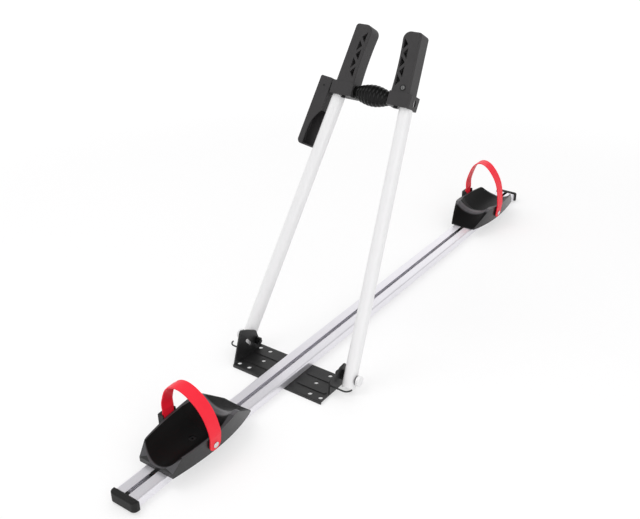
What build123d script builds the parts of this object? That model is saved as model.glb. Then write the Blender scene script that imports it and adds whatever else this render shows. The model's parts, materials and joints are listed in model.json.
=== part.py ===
from build123d import *
import math
import os

os.makedirs("parts", exist_ok=True)

# A roof mounted bike carrier. The rail runs along X, the car's width is Y and +Z is up.
# The origin lies under the middle of the base bracket, on the face that sits on the roof bar.
# All lengths are millimetres.

# Clearances that several pieces share
running_gap = 0.05
glide_gap = 0.3
swing_gap = 0.6
overrun = 4.0

# Rail, an aluminium extrusion with a slot along its top
rail_start = -405.0
rail_end = 925.0
rail_width = 47.0
rail_height = 15.0
rail_wall = 1.8
rail_corner = 3.5
rail_foot_corner = 1.0
channel_width = 24.0
slot_width = 8.0

# Base bracket, pressed from sheet steel, with an ear for each arm
bracket_length = 85.0
bracket_width = 201.0
bracket_height = 6.0
bracket_sheet = 2.5
bracket_bend = 2.0
ear_sheet = 3.0
ear_corner = 5.0
left_ear_foot = (-41.5, 40.0)
left_ear_top = ((25.0, 47.0), (2.0, 60.0), (-18.0, 69.0))
right_ear_foot = (-14.5, 40.0)
right_ear_top = ((38.0, 44.0), (19.5, 42.0), (9.5, 33.0), (-12.0, 33.0))
ear_slot_middle = (3.0, 32.0)
ear_slot_length = 24.0
ear_slot_width = 7.0
ear_slot_tilt = -52.0
stop_rod_radius = 1.5
stop_rod_middle = (-9.0, 20.0)
stop_rod_reach = 25.0
stop_rod_hook = 11.0
bead_end_gap = 6.5
bead_width = 9.0
bead_rise = 1.2
bead_spacing = 32.0
bar_bolt_spacing_x = 63.0
bar_bolt_spacing_y = 23.0
bar_bolt_from_edge = 19.0
bar_bolt_hole = 4.3
drain_hole = 4.0
drain_hole_from_edge = 39.5
pad_length = 76.0
pad_width = 96.0
pad_corner = 6.0

# Bolts that hold the rail down on the bracket
rail_bolt_radius = 3.0
rail_bolt_head = 6.5
rail_bolt_head_height = 1.8
rail_bolt_spacing = 44.0
rail_nut_flats = 10.0
rail_nut_height = 5.0
rail_nut_edge = 0.6

# End caps
cap_length = 12.0
cap_width = 54.0
cap_bottom = 4.0
cap_top = 22.5
cap_corner = 8.0
cap_edge = 3.0
cap_plug_length = 16.0
cap_tab_length = 5.0
cap_foot_length = 14.0
cap_foot_width = 22.0

# Arms: two round tubes that lean forward and meet the clamp head
arm_lean = 30.2
arm_pivot_x = 25.8
arm_pivot_z = 24.5
pivot_beyond_ear = 17.5
head_spread = 71.0
rod_along = 499.0
tube_radius = 12.5
tube_wall = 1.5
tube_below_pivot = 18.0
tube_above_rod = 9.0
pivot_bolt_radius = 4.0
pivot_head_radius = 6.5
pivot_head_height = 5.0
pivot_washer_radius = 9.0
pivot_washer_height = 1.5
pivot_spacer_radius = 9.0
pivot_nut_flats = 13.0
pivot_nut_height = 7.0
pivot_thread_end = 3.0
pivot_gap = 1.5
pivot_cap_radius = 9.5
pivot_cap_wall = 1.5
pivot_cap_edge = 1.2

# Clamp blocks on the arm heads
block_inner = 38.0
block_outer = 85.0
block_below_rod = 12.0
block_above_rod = 13.0
block_depth = 36.0
block_corner = 3.0
rod_radius = 4.0
rod_hole_radius = 6.2

# Jaws that stand on the blocks
jaw_height = 110.0
jaw_depth = 34.0
jaw_foot_inner = 40.0
jaw_foot_outer = 78.0
jaw_head_inner = 31.0
jaw_head_outer = 69.0
jaw_hollow = 2.5
jaw_head_inner_round = 14.0
jaw_head_outer_round = 6.0
jaw_edge = 4.0
jaw_skin = 3.5
truss_width = 14.0
truss_cells = 6
truss_foot_share = 0.03
truss_head_share = 0.93
truss_open_share = 0.62
jaw_bolt_across = 56.0
jaw_bolt_depth = -11.0
jaw_bolt_radius = 2.5
jaw_bolt_head = 4.5
jaw_bolt_head_height = 4.0
jaw_bolt_reach = 24.0

# Key lock in the foot of the right jaw
lock_across = 63.0
lock_above_block = 8.5
lock_radius = 3.8
lock_length = 14.0
lock_bezel_radius = 5.4
lock_bezel_height = 1.2
lock_proud = 0.6
keyway_length = 4.6
keyway_width = 1.2
keyway_depth = 3.0

# Clamp rod with its nut, spring, bellows and lever
rod_nut_across = 46.0
rod_nut_radius = 6.0
rod_nut_length = 26.0
rod_nut_cover = 4.0
rod_end_across = 71.0
washer_radius = 11.0
washer_height = 1.6
spring_radius = 7.5
spring_wire = 0.8
spring_turns = 8
spring_clear = 2.0
bellows_end_radius = 12.0
bellows_middle_radius = 20.0
bellows_ribs = 8
bellows_fold = 3.2
bellows_end_fold_share = 0.4
bellows_wall = 1.4
bellows_collar = 3.0
lever_across = 103.5
lever_half_width = 13.5
lever_depth = 24.0
lever_top = 17.0
lever_length = 117.0
lever_wall = 3.0
lever_corner = 3.0
lever_tip_width = 11.0
lever_tip_round = 9.0
lever_scoop_top = 46.0
lever_scoop_middle = (-3.5, -61.0)
lever_scoop_foot = 84.0
lever_rod_beyond_pin = 6.5
lever_boss_radius = 10.5
lever_pin_radius = 2.0

# Wheel trays on the rail
tray_middle_near = -244.0
tray_middle_far = 781.0
tray_length = 196.0
tray_rise = 44.0
tray_wall = 3.2
tray_station_share = (-0.5, -0.13, 0.16, 0.5)
tray_base_halves = (36.0, 44.0, 43.0, 29.0)
tray_top_halves = (37.0, 49.0, 48.0, 31.0)
trough_station_share = (-0.5, -0.13, 0.05, 0.18, 0.255)
trough_halves = (33.8, 45.8, 45.0, 38.5, 37.0)
trough_floors = (7.0, 6.0, 6.0, 22.0, 22.0)
trough_shoulders = (29.0, 38.0, 38.0, 39.0, 39.0)
ramp_foot_half = 29.0
ramp_foot_dip = 0.5
rim_near_foot = 9.0
rim_near_corner = (19.0, 30.0)
rim_middle_rise = 34.0
rim_peak = (56.0, 39.0)
rim_round = 9.0
pocket_start = -58.0
pocket_end = 52.0
pocket_inner = 24.0
pocket_outer = 38.5
pocket_inner_rise = 6.0
pocket_outer_rise = 20.0

# Slider in the rail's slot and the screw that clamps the tray to it
slider_start = -107.0
slider_length = 110.0
slider_head_width = 20.0
slider_head_height = 5.0
tray_screw_along = -15.0
tray_screw_radius = 3.0
tray_screw_head = 6.0
tray_screw_head_height = 2.6
tray_screw_seat = 2.6
hex_key_flats = 4.0
hex_key_depth = 1.6

# Straps with a rivet on one side and a buckle on the other
near_rivet_along = -14.0
near_buckle_along = -14.0
far_rivet_along = -10.0
far_buckle_along = 26.0
strap_width = 25.0
strap_thickness = 2.2
strap_steps = 14
strap_foot = (-48.4, 28.0)
strap_rim = (-51.0, 52.0)
near_strap_arch = ((-47.0, 76.0), (-36.0, 98.0), (-14.0, 118.0), (14.0, 127.0), (38.0, 115.0), (49.0, 90.0))
far_strap_arch = ((-50.0, 84.0), (-44.0, 112.0), (-25.0, 138.0), (5.0, 148.0), (34.0, 132.0), (48.5, 98.0))
strap_left_rim = (51.6, 62.0)
strap_tail = (51.6, 44.0)
rivet_height = 38.0
rivet_head_radius = 5.5
rivet_head_height = 1.8
rivet_radius = 2.4
rivet_length = 10.6
rivet_edge = 0.9
buckle_width = 31.0
buckle_inner = 40.0
buckle_outer = 60.0
buckle_bottom = 38.0
buckle_top = 60.0
buckle_cheek = 2.6
buckle_slot_clear = 0.5
buckle_outer_wall = 54.8
buckle_edge = 1.2
buckle_lever_thickness = 4.0
buckle_lever_gap = 0.4
buckle_pin_radius = 1.5
buckle_pin_height = 42.5
buckle_lever_top = 58.5
buckle_lever_lip = 2.0

# Places and directions that follow from the sizes above
rail_length = rail_end - rail_start
rail_bottom = bracket_height
rail_top = rail_bottom + rail_height
plate_underside = bracket_height - bracket_sheet
ear_outer = bracket_width / 2
ear_inner = ear_outer - ear_sheet
pivot_spread = ear_outer + pivot_beyond_ear
bead_start = rail_width / 2 + bead_end_gap
bead_end = ear_outer - bead_end_gap
lean = math.radians(arm_lean)
along_dir = Vector(math.sin(lean), 0, math.cos(lean))
depth_dir = Vector(math.cos(lean), 0, -math.sin(lean))
across_dir = Vector(0, 1, 0)
arm_pivot = Vector(arm_pivot_x, 0, arm_pivot_z)
tray_floor = rail_top + glide_gap
strap_stations = [step / strap_steps for step in range(strap_steps + 1)]


def save(piece, name):
    piece.part.label = name
    export_step(piece.part, f"parts/{name}.step")


def between(low, high, share):
    return low + (high - low) * share


def arm_point(across, along, depth=0):
    """A point of the arm frame: across the car, along the arms, and through their depth."""
    return arm_pivot + across_dir * across + along_dir * along + depth_dir * depth


def arm_face(depth=0):
    """The plane of the arms: local x runs across, local y along the arms."""
    return Plane(origin=arm_point(0, 0, depth), x_dir=across_dir, z_dir=depth_dir)


def arm_section(along):
    """A cut square to the arms: local x runs across, local y against the depth."""
    return Plane(origin=arm_point(0, along), x_dir=across_dir, z_dir=along_dir)


def cross_section(across, along=0, depth=0):
    """A cut square to Y, for bolts and the rod: local x runs along the depth."""
    return Plane(origin=arm_point(across, along, depth), x_dir=depth_dir, z_dir=across_dir)


def side_name(side):
    return "left" if side > 0 else "right"


# Rail
with BuildPart() as rail:
    with BuildSketch(Plane.YZ.offset(rail_start)) as rail_profile:
        with Locations((0, rail_bottom + rail_height / 2)):
            Rectangle(rail_width, rail_height)
        fillet(rail_profile.vertices().group_by(Axis.Y)[-1], rail_corner)
        fillet(rail_profile.vertices().group_by(Axis.Y)[0], rail_foot_corner)
        with Locations((0, rail_bottom + rail_height / 2)):
            Rectangle(channel_width, rail_height - 2 * rail_wall, mode=Mode.SUBTRACT)
        with Locations((0, rail_top - rail_wall / 2)):
            Rectangle(slot_width, 2 * rail_wall, mode=Mode.SUBTRACT)
        chamber_inner = channel_width / 2 + rail_wall
        chamber_outer = rail_width / 2 - rail_wall
        chamber_width = chamber_outer - chamber_inner
        chamber_height = rail_height - 2 * rail_corner
        for side in (-1, 1):
            with Locations((side * (chamber_inner + chamber_outer) / 2, rail_bottom + rail_height / 2)):
                Rectangle(chamber_width, chamber_height, mode=Mode.SUBTRACT)
    extrude(amount=rail_length)
    with BuildSketch(Plane.XY.offset(rail_bottom - overrun)):
        with GridLocations(rail_bolt_spacing, 0, 2, 1):
            Circle(rail_bolt_radius + running_gap)
    extrude(amount=overrun + rail_wall + running_gap, mode=Mode.SUBTRACT)
save(rail, "rail")

# Base bracket
with BuildPart() as base_bracket:
    with BuildSketch(Plane.XZ) as bracket_profile:
        with Locations((0, bracket_height / 2)):
            Rectangle(bracket_length, bracket_height)
        fillet(bracket_profile.vertices().group_by(Axis.Y)[-1], bracket_bend)
        with Locations((0, plate_underside / 2)):
            Rectangle(bracket_length - 2 * bracket_sheet, plate_underside, mode=Mode.SUBTRACT)
    extrude(amount=bracket_width / 2, both=True)
    for side in (-1, 1):
        with BuildSketch(Plane.XZ.offset(-side * ear_outer)) as ear:
            foot, top = (left_ear_foot, left_ear_top) if side > 0 else (right_ear_foot, right_ear_top)
            Polygon((foot[0], plate_underside), (foot[1], plate_underside), *top, align=None)
            fillet(ear.vertices().filter_by(lambda v: v.Y > bracket_height), ear_corner)
            with Locations((arm_pivot_x, arm_pivot_z)):
                Circle(pivot_bolt_radius + running_gap, mode=Mode.SUBTRACT)
            if side > 0:
                with Locations(Location(ear_slot_middle, ear_slot_tilt)):
                    SlotOverall(ear_slot_length, ear_slot_width, mode=Mode.SUBTRACT)
        extrude(amount=side * ear_sheet)
        with BuildLine(Plane.XY.offset(stop_rod_middle[1])) as stop_rod_path:
            straight = Line(
                (stop_rod_middle[0], side * ear_inner),
                (stop_rod_middle[0], side * (ear_outer + stop_rod_reach)),
            )
            hook_end = (stop_rod_middle[0] + stop_rod_hook, side * (ear_outer + stop_rod_reach + stop_rod_hook))
            TangentArc(straight @ 1, hook_end, tangent=straight % 1)
        with BuildSketch(Plane(origin=straight @ 0, z_dir=straight % 0)):
            Circle(stop_rod_radius)
        sweep(path=stop_rod_path.line)
        with BuildSketch(Plane.XY.offset(bracket_height)):
            with Locations((0, side * (bead_start + bead_end) / 2)):
                with GridLocations(bead_spacing, 0, 2, 1):
                    SlotOverall(bead_end - bead_start, bead_width, rotation=90)
        extrude(amount=bead_rise)
        with BuildSketch(Plane.XY.offset(-overrun)):
            with Locations((0, side * (ear_outer - bar_bolt_from_edge))):
                with GridLocations(bar_bolt_spacing_x, bar_bolt_spacing_y, 2, 2):
                    Circle(bar_bolt_hole)
            with Locations((0, side * (ear_outer - drain_hole_from_edge))):
                Circle(drain_hole)
        extrude(amount=bracket_height + 2 * overrun, mode=Mode.SUBTRACT)
    with BuildSketch(Plane.XY.offset(-overrun)):
        with GridLocations(rail_bolt_spacing, 0, 2, 1):
            Circle(rail_bolt_radius + running_gap)
    extrude(amount=bracket_height + 2 * overrun, mode=Mode.SUBTRACT)
save(base_bracket, "base_bracket")

# Rubber pad between the bracket and the roof bar
with BuildPart() as roof_bar_pad:
    with BuildSketch():
        RectangleRounded(pad_length, pad_width, pad_corner)
    extrude(amount=plate_underside)
    with BuildSketch(Plane.XY.offset(plate_underside - rail_bolt_head_height - running_gap)):
        with GridLocations(rail_bolt_spacing, 0, 2, 1):
            Circle(rail_bolt_head + glide_gap)
    extrude(amount=plate_underside, mode=Mode.SUBTRACT)
save(roof_bar_pad, "roof_bar_pad")

# Bolts and nuts that hold the rail on the bracket
nut_seat = rail_bottom + rail_wall
with BuildPart() as rail_bolts:
    with BuildSketch(Plane.XY.offset(plate_underside - rail_bolt_head_height)):
        with GridLocations(rail_bolt_spacing, 0, 2, 1):
            Circle(rail_bolt_head)
    extrude(amount=rail_bolt_head_height)
    with BuildSketch(Plane.XY.offset(plate_underside)):
        with GridLocations(rail_bolt_spacing, 0, 2, 1):
            Circle(rail_bolt_radius)
    extrude(amount=nut_seat + rail_nut_height - plate_underside)
save(rail_bolts, "rail_bolts")

with BuildPart() as rail_nuts:
    with BuildSketch(Plane.XY.offset(nut_seat)):
        with GridLocations(rail_bolt_spacing, 0, 2, 1):
            RegularPolygon(rail_nut_flats / 2, 6, major_radius=False)
            Circle(rail_bolt_radius + running_gap, mode=Mode.SUBTRACT)
    extrude(amount=rail_nut_height)
    chamfer(rail_nuts.edges().filter_by(GeomType.LINE).group_by(Axis.Z)[-1], rail_nut_edge)
save(rail_nuts, "rail_nuts")


def make_end_cap(rail_face, outward):
    """A moulded cap over one end of the rail, with tongues in its chambers and a foot under it."""
    with BuildPart() as cap:
        with BuildSketch(Plane.XY.offset(cap_bottom)) as cap_plan:
            with Locations((rail_face + outward * cap_length / 2, 0)):
                Rectangle(cap_length, cap_width)
            outer_corners = cap_plan.vertices().sort_by(Axis.X)[-2:] if outward > 0 else (
                cap_plan.vertices().sort_by(Axis.X)[:2]
            )
            fillet(outer_corners, cap_corner)
        extrude(amount=cap_top - cap_bottom)
        fillet(cap.faces().sort_by(Axis.Z)[-1].edges(), cap_edge)
        with BuildSketch(Plane.YZ.offset(rail_face + outward * cap_corner / 2)):
            with Locations((0, rail_bottom / 2)):
                Rectangle(cap_foot_width, rail_bottom)
        extrude(amount=-outward * (cap_corner / 2 + cap_foot_length))
        tongue_width = chamber_width - 2 * glide_gap
        tongue_height = chamber_height - 2 * glide_gap
        with BuildSketch(Plane.YZ.offset(rail_face)):
            for side in (-1, 1):
                with Locations((side * (chamber_inner + chamber_outer) / 2, rail_bottom + rail_height / 2)):
                    Rectangle(tongue_width, tongue_height)
        extrude(amount=-outward * cap_plug_length)
        with BuildSketch(Plane.YZ.offset(rail_face)):
            with Locations((0, rail_top - rail_wall)):
                Rectangle(slot_width - 2 * glide_gap, 2 * rail_wall)
        extrude(amount=-outward * cap_tab_length)
    return cap


near_end_cap = make_end_cap(rail_start, -1)
save(near_end_cap, "near_end_cap")
far_end_cap = make_end_cap(rail_end, 1)
save(far_end_cap, "far_end_cap")

# Bolts through the ears that the arms fold on, with their spacers, washers and nuts
with BuildPart() as arm_pivot_bolts:
    for side in (-1, 1):
        head_seat = pivot_spread + tube_radius + pivot_gap + pivot_washer_height
        bolt_end = ear_inner - pivot_nut_height - pivot_thread_end
        with BuildSketch(cross_section(side * bolt_end)):
            Circle(pivot_bolt_radius)
        extrude(amount=side * (head_seat - bolt_end))
        with BuildSketch(cross_section(side * head_seat)):
            RegularPolygon(pivot_head_radius, 6)
        extrude(amount=side * pivot_head_height)
        with BuildSketch(cross_section(side * (head_seat - pivot_washer_height))):
            Circle(pivot_washer_radius)
        extrude(amount=side * pivot_washer_height)
save(arm_pivot_bolts, "arm_pivot_bolts")

# White caps pressed over the bolts' heads
with BuildPart() as arm_pivot_caps:
    for side in (-1, 1):
        cap_length_over_head = pivot_head_height + pivot_cap_wall
        with BuildSketch(cross_section(side * head_seat)):
            Circle(pivot_cap_radius)
        extrude(amount=side * cap_length_over_head)
        rim = arm_pivot_caps.edges().filter_by(GeomType.CIRCLE).sort_by(Axis.Y)[-1 if side > 0 else 0]
        fillet(rim, pivot_cap_edge)
        with BuildSketch(cross_section(side * head_seat)):
            Circle(pivot_head_radius + running_gap)
        extrude(amount=side * pivot_head_height, mode=Mode.SUBTRACT)
save(arm_pivot_caps, "arm_pivot_caps")

spacer_height = pivot_spread - tube_radius - pivot_gap - ear_outer - running_gap
with BuildPart() as arm_pivot_spacers:
    for side in (-1, 1):
        with BuildSketch(cross_section(side * (ear_outer + running_gap))):
            Circle(pivot_spacer_radius)
            Circle(pivot_bolt_radius + running_gap, mode=Mode.SUBTRACT)
        extrude(amount=side * spacer_height)
save(arm_pivot_spacers, "arm_pivot_spacers")

with BuildPart() as arm_pivot_nuts:
    for side in (-1, 1):
        with BuildSketch(cross_section(side * (ear_inner - running_gap))):
            RegularPolygon(pivot_nut_flats / 2, 6, major_radius=False)
            Circle(pivot_bolt_radius + running_gap, mode=Mode.SUBTRACT)
        extrude(amount=-side * pivot_nut_height)
save(arm_pivot_nuts, "arm_pivot_nuts")


def make_arm_tube(side):
    """One round tube of the arms, drilled for its pivot bolt and for the clamp rod."""
    foot = arm_point(side * pivot_spread, 0)
    head = arm_point(side * head_spread, rod_along)
    direction = (head - foot).normalized()
    tube_length = (head - foot).length + tube_below_pivot + tube_above_rod
    with BuildPart() as tube:
        with BuildSketch(Plane(origin=foot - direction * tube_below_pivot, z_dir=direction)):
            Circle(tube_radius)
            Circle(tube_radius - tube_wall, mode=Mode.SUBTRACT)
        extrude(amount=tube_length)
        with BuildSketch(cross_section(side * pivot_spread)):
            Circle(pivot_bolt_radius + swing_gap)
        extrude(amount=tube_radius + overrun, both=True, mode=Mode.SUBTRACT)
        with BuildSketch(cross_section(side * head_spread, rod_along)):
            Circle(rod_hole_radius)
        extrude(amount=tube_radius + overrun, both=True, mode=Mode.SUBTRACT)
    return tube


def make_clamp_block(side):
    """The moulded block on an arm's head, with sockets for the tube, the rod and the jaw bolt."""
    block_width = block_outer - block_inner
    block_middle = (block_inner + block_outer) / 2
    foot = arm_point(side * pivot_spread, 0)
    head = arm_point(side * head_spread, rod_along)
    direction = (head - foot).normalized()
    socket_start = head - direction * (block_below_rod + overrun)
    with BuildPart() as block:
        with BuildSketch(arm_section(rod_along - block_below_rod)):
            with Locations((side * block_middle, 0)):
                RectangleRounded(block_width, block_depth, block_corner)
        extrude(amount=block_below_rod + block_above_rod)
        with BuildSketch(Plane(origin=socket_start, z_dir=direction)):
            Circle(tube_radius + running_gap)
        extrude(amount=block_below_rod + overrun + tube_above_rod + running_gap, mode=Mode.SUBTRACT)
        with BuildSketch(cross_section(side * block_middle, rod_along)):
            Circle(rod_hole_radius)
        extrude(amount=block_width, both=True, mode=Mode.SUBTRACT)
        with BuildSketch(arm_section(rod_along)):
            with Locations((side * jaw_bolt_across, -jaw_bolt_depth)):
                Circle(jaw_bolt_radius + running_gap)
        extrude(amount=block_below_rod + block_above_rod, both=True, mode=Mode.SUBTRACT)
        if side < 0:
            with BuildSketch(arm_face(-block_depth / 2 + rod_nut_cover)):
                with Locations((side * rod_nut_across, rod_along)):
                    Circle(rod_nut_radius + running_gap)
            extrude(amount=block_depth, mode=Mode.SUBTRACT)
    return block


def jaw_edge_point(inward, share):
    """A point up the jaw's inner edge, moved in from it by a distance; the edge is gently hollow."""
    edge = between(jaw_foot_inner, jaw_head_inner, share) + 4 * jaw_hollow * share * (1 - share)
    return edge + inward, rod_along + block_above_rod + jaw_height * share


def make_jaw(side):
    """A jaw with a solid back, a sprung inner skin and a zigzag of ribs between them."""
    jaw_foot = rod_along + block_above_rod
    jaw_head = jaw_foot + jaw_height
    with BuildPart() as jaw:
        with BuildSketch(arm_face(-jaw_depth / 2)) as jaw_profile:
            with BuildLine():
                foot_inner = jaw_edge_point(0, 0)
                middle_inner = jaw_edge_point(0, 0.5)
                head_inner = jaw_edge_point(0, 1)
                hollow = ThreePointArc(
                    (side * foot_inner[0], foot_inner[1]), (side * middle_inner[0], middle_inner[1]),
                    (side * head_inner[0], head_inner[1]),
                )
                Polyline(
                    hollow @ 1, (side * jaw_head_outer, jaw_head), (side * jaw_foot_outer, jaw_foot),
                    hollow @ 0,
                )
            make_face()
            for nearest, corner_round in ((0, jaw_head_inner_round), (-1, jaw_head_outer_round)):
                head_corners = jaw_profile.vertices().group_by(Axis.Y)[-1]
                fillet(head_corners.sort_by(lambda v: abs(v.X))[nearest], corner_round)
        extrude(amount=jaw_depth)
        outline_edges = jaw.edges().filter_by(lambda e: abs(e.tangent_at(0.5).dot(depth_dir)) < 0.5)
        foot_plane = Plane(origin=arm_point(0, jaw_foot), z_dir=along_dir)
        rim_edges = outline_edges.filter_by(
            lambda e: abs(foot_plane.to_local_coords(e @ 0.5).Z) > running_gap
        )
        fillet(rim_edges, jaw_edge)
        with BuildSketch(arm_face(-jaw_depth / 2 - overrun)):
            for cell in range(truss_cells - 1):
                shares = [
                    between(truss_foot_share, truss_head_share, (cell + step) / truss_cells)
                    for step in range(3)
                ]
                near_wall, far_wall = jaw_skin, jaw_skin + truss_width
                depths = (near_wall, far_wall, near_wall) if cell % 2 == 0 else (far_wall, near_wall, far_wall)
                corners = [jaw_edge_point(depth, share) for depth, share in zip(depths, shares)]
                middle = (sum(x for x, y in corners) / 3, sum(y for x, y in corners) / 3)
                hole = [
                    (side * between(middle[0], x, truss_open_share), between(middle[1], y, truss_open_share))
                    for x, y in corners
                ]
                Polygon(*hole, align=None)
        extrude(amount=jaw_depth + 2 * overrun, mode=Mode.SUBTRACT)
        with BuildSketch(arm_section(jaw_foot - overrun)):
            with Locations((side * jaw_bolt_across, -jaw_bolt_depth)):
                Circle(jaw_bolt_radius + running_gap)
        extrude(amount=overrun + jaw_bolt_reach + running_gap, mode=Mode.SUBTRACT)
        if side < 0:
            with BuildSketch(arm_face(-jaw_depth / 2 - overrun)):
                with Locations((side * lock_across, jaw_foot + lock_above_block)):
                    Circle(lock_radius + running_gap)
            extrude(amount=overrun + lock_length + running_gap, mode=Mode.SUBTRACT)
    return jaw


def make_jaw_bolt(side):
    """The bolt that goes up through a clamp block into its jaw."""
    block_foot = rod_along - block_below_rod
    with BuildPart() as bolt:
        with BuildSketch(arm_section(block_foot)):
            with Locations((side * jaw_bolt_across, -jaw_bolt_depth)):
                Circle(jaw_bolt_radius)
        extrude(amount=block_below_rod + block_above_rod + jaw_bolt_reach)
        with BuildSketch(arm_section(block_foot)):
            with Locations((side * jaw_bolt_across, -jaw_bolt_depth)):
                RegularPolygon(jaw_bolt_head, 6)
        extrude(amount=-jaw_bolt_head_height)
    return bolt


for side in (1, -1):
    save(make_arm_tube(side), f"{side_name(side)}_arm_tube")
    save(make_clamp_block(side), f"{side_name(side)}_clamp_block")
    save(make_jaw(side), f"{side_name(side)}_jaw")
    save(make_jaw_bolt(side), f"{side_name(side)}_jaw_bolt")

# Key lock in the foot of the right jaw
lock_along = rod_along + block_above_rod + lock_above_block
with BuildPart() as lock_bezel:
    with BuildSketch(arm_face(-jaw_depth / 2)):
        with Locations((-lock_across, lock_along)):
            Circle(lock_bezel_radius)
            Circle(lock_radius + running_gap, mode=Mode.SUBTRACT)
    extrude(amount=-lock_bezel_height)
save(lock_bezel, "lock_bezel")

with BuildPart() as lock_barrel:
    with BuildSketch(arm_face(-jaw_depth / 2 - lock_proud)):
        with Locations((-lock_across, lock_along)):
            Circle(lock_radius)
    extrude(amount=lock_length)
    with BuildSketch(arm_face(-jaw_depth / 2 - lock_proud)):
        with Locations((-lock_across, lock_along)):
            SlotOverall(keyway_length, keyway_width, rotation=90)
    extrude(amount=keyway_depth, mode=Mode.SUBTRACT)
save(lock_barrel, "lock_barrel")

# Swivelling nut in the right block, and the washer that the lever's boss turns on
with BuildPart() as rod_nut:
    with BuildSketch(arm_face(-block_depth / 2 + rod_nut_cover + running_gap)):
        with Locations((-rod_nut_across, rod_along)):
            Circle(rod_nut_radius)
    extrude(amount=rod_nut_length)
    with BuildSketch(cross_section(-rod_nut_across, rod_along)):
        Circle(rod_radius + running_gap)
    extrude(amount=rod_nut_radius + overrun, both=True, mode=Mode.SUBTRACT)
save(rod_nut, "rod_nut")

washer_seat = block_outer + swing_gap
boss_seat = washer_seat + washer_height
with BuildPart() as thrust_washer:
    with BuildSketch(cross_section(washer_seat, rod_along)):
        Circle(washer_radius)
        Circle(rod_radius + running_gap, mode=Mode.SUBTRACT)
    extrude(amount=washer_height)
save(thrust_washer, "thrust_washer")

# Clamp rod, the pin through it and the lever on its end
rod_lever_end = lever_across + lever_rod_beyond_pin
with BuildPart() as clamp_rod:
    with BuildSketch(cross_section(-rod_end_across, rod_along)):
        Circle(rod_radius)
    extrude(amount=rod_end_across + rod_lever_end)
    with BuildSketch(arm_face()):
        with Locations((lever_across, rod_along)):
            Circle(lever_pin_radius + running_gap)
    extrude(amount=rod_radius + overrun, both=True, mode=Mode.SUBTRACT)
save(clamp_rod, "clamp_rod")

with BuildPart() as lever_pin:
    with BuildSketch(arm_face()):
        with Locations((lever_across, rod_along)):
            Circle(lever_pin_radius)
    extrude(amount=lever_depth / 2, both=True)
save(lever_pin, "lever_pin")

left_tube_dir = (arm_point(head_spread, rod_along) - arm_point(pivot_spread, 0)).normalized()
lever_out_dir = left_tube_dir.cross(depth_dir)


def lever_face(depth):
    """The plane of the lever: local x points away from the left tube, local y runs along it."""
    return Plane(origin=arm_point(lever_across, rod_along, depth), x_dir=lever_out_dir, z_dir=depth_dir)


with BuildPart() as clamp_lever:
    with BuildSketch(lever_face(-lever_depth / 2)) as lever_profile:
        Polygon(
            (-lever_half_width, -lever_length), (lever_half_width, -lever_length),
            (lever_half_width, lever_top), (-lever_half_width, lever_top), align=None,
        )
        fillet(lever_profile.vertices().group_by(Axis.Y)[0].sort_by(Axis.X)[-1], lever_tip_round)
        fillet(lever_profile.vertices().group_by(Axis.Y)[-1], lever_corner)
    extrude(amount=lever_depth)
    with BuildSketch(lever_face(-lever_depth / 2 - overrun)):
        tip_inner = lever_half_width - lever_tip_width
        with BuildLine():
            scoop = ThreePointArc(
                (-lever_half_width, -lever_scoop_top), lever_scoop_middle, (tip_inner, -lever_scoop_foot),
            )
            Polyline(
                scoop @ 1, (tip_inner, -lever_length - overrun),
                (-lever_half_width - overrun, -lever_length - overrun),
                (-lever_half_width - overrun, -lever_scoop_top), scoop @ 0,
            )
        make_face()
    extrude(amount=overrun + lever_wall + running_gap, mode=Mode.SUBTRACT)
    with BuildSketch(cross_section(boss_seat, rod_along)):
        Circle(lever_boss_radius)
    extrude(amount=lever_across - boss_seat)
    with BuildSketch(lever_face(-lever_depth / 2 + lever_wall)):
        with BuildLine():
            pocket_side = Line(
                (-lever_half_width - overrun, -lever_scoop_top), (lever_half_width - lever_wall, -lever_scoop_top),
            )
            Polyline(
                pocket_side @ 1, (lever_half_width - lever_wall, -lever_length + lever_wall),
                (-lever_half_width - overrun, -lever_length + lever_wall), pocket_side @ 0,
            )
        make_face()
    extrude(amount=lever_depth - 2 * lever_wall, mode=Mode.SUBTRACT)
    with BuildSketch(cross_section(boss_seat, rod_along)):
        Circle(rod_radius + running_gap)
    extrude(amount=rod_lever_end + running_gap - boss_seat, mode=Mode.SUBTRACT)
    with BuildSketch(arm_face()):
        with Locations((lever_across, rod_along)):
            Circle(lever_pin_radius + running_gap)
    extrude(amount=lever_depth, both=True, mode=Mode.SUBTRACT)
save(clamp_lever, "clamp_lever")

# Spring around the rod, and the bellows that cover it
spring_reach = block_inner - spring_clear


def spring_point(turn):
    """A point on the spring's helix, so many turns from its right end."""
    angle = 2 * math.pi * turn
    across = between(-spring_reach, spring_reach, turn / spring_turns)
    return arm_point(across, rod_along + spring_radius * math.cos(angle), spring_radius * math.sin(angle))


with BuildPart() as clamp_spring:
    with BuildLine() as helix:
        for quarter in range(4 * spring_turns):
            ThreePointArc(*(spring_point((quarter + step) / 4) for step in (0, 0.5, 1)))
    with BuildSketch(Plane(origin=helix.line @ 0, z_dir=helix.line % 0)):
        Circle(spring_wire)
    sweep(path=helix.line)
save(clamp_spring, "clamp_spring")

bellows_start = block_inner - bellows_collar


def bellows_crest(share):
    return bellows_end_radius + (bellows_middle_radius - bellows_end_radius) * math.sin(math.pi * share)


def bellows_valley(share):
    fold_share = between(bellows_end_fold_share, 1, math.sin(math.pi * share))
    return bellows_crest(share) - bellows_fold * fold_share


def bellows_folds(inset):
    """The line of the folds, ribs and valleys in turn, moved in towards the rod by an inset."""
    points = []
    for half_rib in range(2 * bellows_ribs + 1):
        share = half_rib / (2 * bellows_ribs)
        radius = bellows_crest(share) if half_rib % 2 else bellows_valley(share)
        points.append((between(-bellows_start, bellows_start, share), radius - inset))
    return points


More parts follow.
